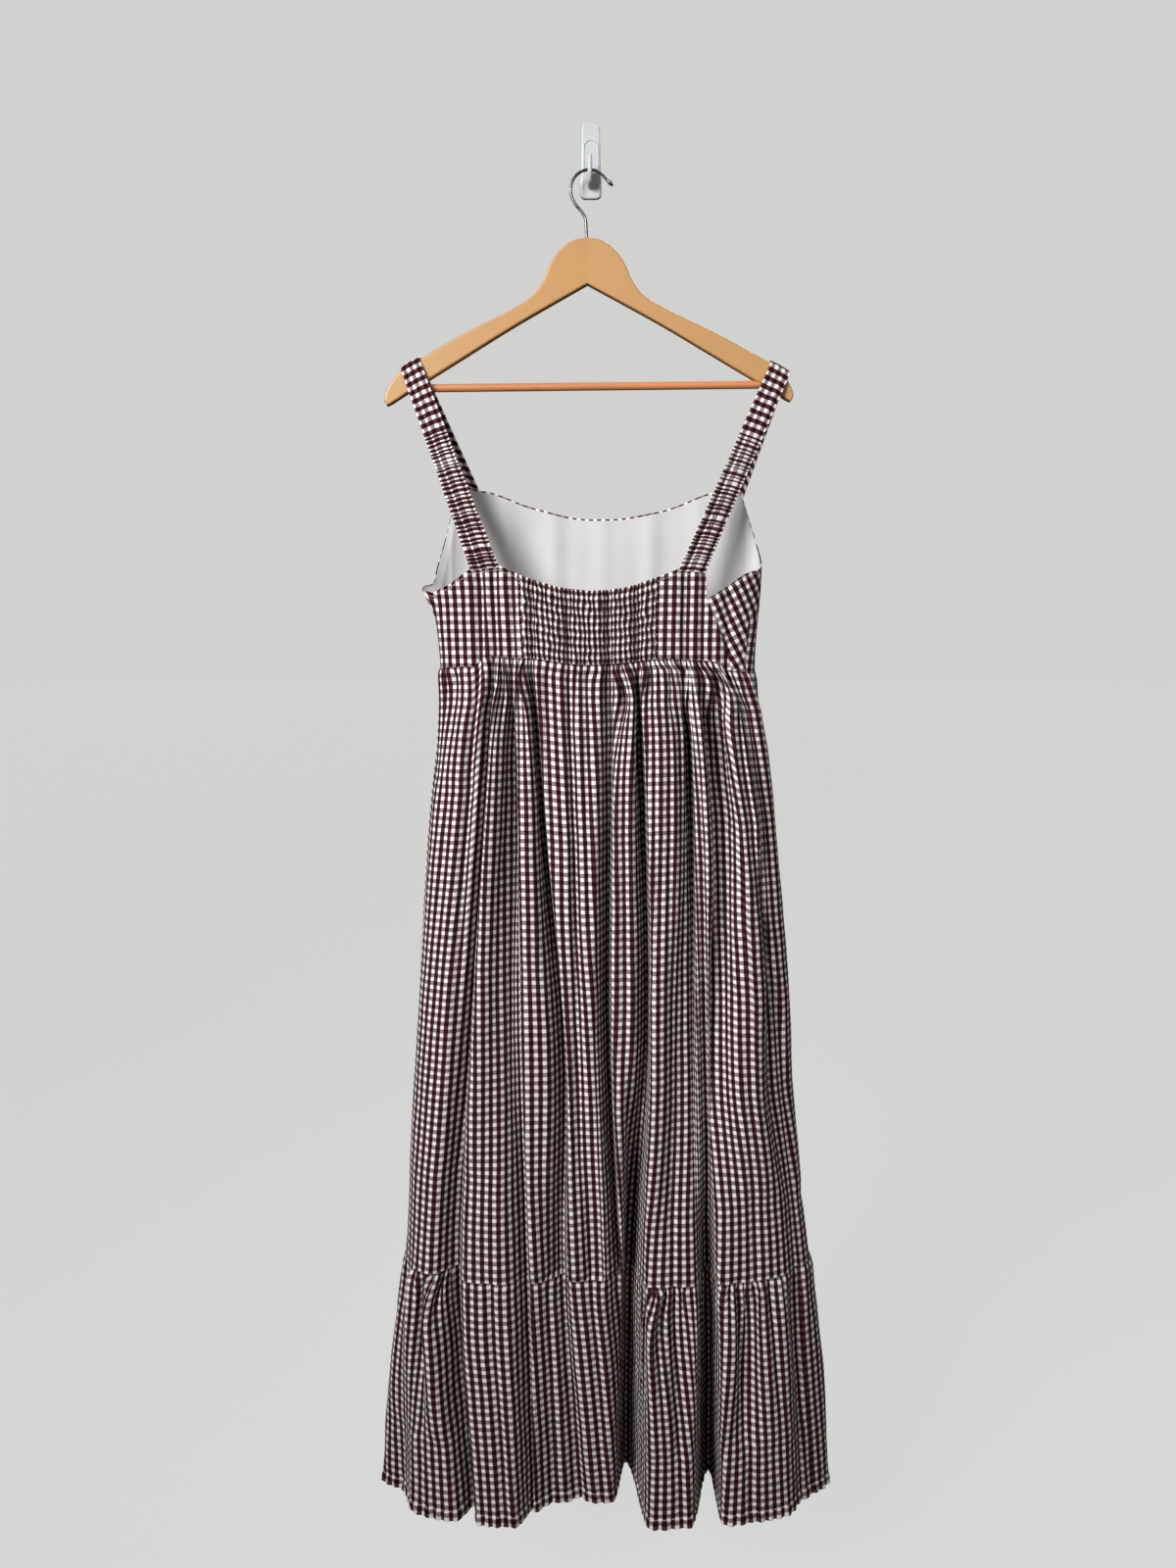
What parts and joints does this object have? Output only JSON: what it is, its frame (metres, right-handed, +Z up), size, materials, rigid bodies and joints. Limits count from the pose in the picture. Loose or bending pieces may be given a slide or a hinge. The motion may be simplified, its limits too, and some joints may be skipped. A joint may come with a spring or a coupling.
{
  "type": "maxi dress on a wooden hanger with its wall hook",
  "caption": "Sleeveless gingham maxi dress with a shirred back, wide straps and a gathered tier, hung on a wooden hanger from a wall hook.",
  "frame": {"origin": "middle of the wall hook's flat back face, on the wall", "axes": "+Z up, +Y into the wall, +X to the right for someone who faces the wall"},
  "size_m": [0.5114, 0.1715, 1.5045],
  "materials": {
    "gingham": "woven cotton, maroon-brown and white checks",
    "lining": "plain white cotton",
    "beech": "clear satin lacquer",
    "bar_wood": "darker stained dowel, satin",
    "chrome": "bright plated wire",
    "white_plastic": "smooth white"
  },
  "bodies": {
    "root": {"skirt_back": "gingham", "skirt_front": "gingham", "ruffle_back": "gingham", "ruffle_front": "gingham", "bodice_back_shirred": "gingham", "bodice_back_left": "gingham", "bodice_back_right": "gingham", "bodice_front": "gingham", "strap_left": "gingham", "strap_right": "gingham", "bodice_lining": "lining", "hanger_arm_left": "beech", "hanger_arm_right": "beech", "hanger_bar": "bar_wood", "hanger_hook": "chrome", "wall_hook": "white_plastic"}
  },
  "joints": []
}
